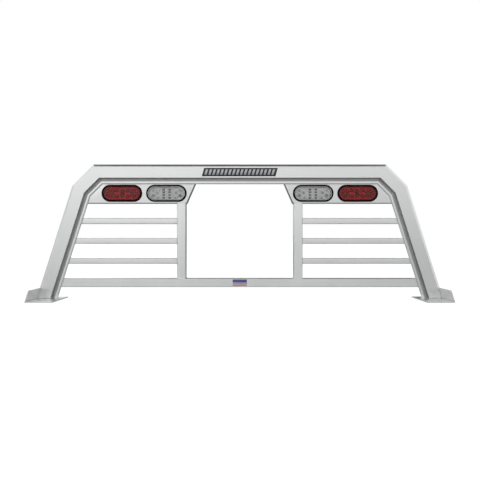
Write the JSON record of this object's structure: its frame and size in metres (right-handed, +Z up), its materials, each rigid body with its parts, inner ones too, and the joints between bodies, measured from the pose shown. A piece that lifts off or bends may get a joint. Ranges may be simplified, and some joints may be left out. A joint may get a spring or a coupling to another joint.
{
  "type": "headache rack",
  "caption": "Welded aluminium headache rack for a pickup's bed, with a window opening, horizontal bars, oval lamps in light panels, a bolt track and flat feet.",
  "frame": {"origin": "centre of the bottom of the whole rack's box, on the plane that the base plates rest on", "axes": "+Z up, +X to the right as seen from the tailgate, +Y towards the cab. The frame's front face looks along -Y"},
  "size_m": [1.7648, 0.236, 0.586],
  "materials": {
    "extrusion": "satin mill finish with a fine drawn grain",
    "tube": "satin mill finish",
    "panel": "satin sheet",
    "foot": "satin plate",
    "rubber": "matt black",
    "red_lens": "clear red, with moulded optics",
    "clear_lens": "clear, with moulded optics",
    "housing": "black moulded",
    "board": "pale solder mask",
    "badge": "dark, with plain slanted bars",
    "decal": "printed vinyl, plain stripes"
  },
  "bodies": {
    "root": {"top_rail": "extrusion", "corner_left": "extrusion", "corner_right": "extrusion", "leg_left": "extrusion", "leg_right": "extrusion", "bottom_rail": "tube", "window_post_left": "tube", "window_post_right": "tube", "bar_upper_left": "tube", "bar_middle_left": "tube", "bar_lower_left": "tube", "bar_upper_right": "tube", "bar_middle_right": "tube", "bar_lower_right": "tube", "light_panel_left": "panel", "light_panel_right": "panel", "foot_plate_left": "foot", "foot_plate_right": "foot", "foot_gusset_left": "foot", "foot_gusset_right": "foot", "stop_lamp_lens_left": "red_lens", "stop_lamp_grommet_left": "rubber", "stop_lamp_housing_left": "housing", "stop_lamp_board_left": "board", "stop_lamp_lens_right": "red_lens", "stop_lamp_grommet_right": "rubber", "stop_lamp_housing_right": "housing", "stop_lamp_board_right": "board", "reverse_lamp_lens_left": "clear_lens", "reverse_lamp_grommet_left": "rubber", "reverse_lamp_housing_left": "housing", "reverse_lamp_board_left": "board", "reverse_lamp_lens_right": "clear_lens", "reverse_lamp_grommet_right": "rubber", "reverse_lamp_housing_right": "housing", "reverse_lamp_board_right": "board", "name_badge": "badge", "stripe_decal": "decal"}
  },
  "joints": []
}
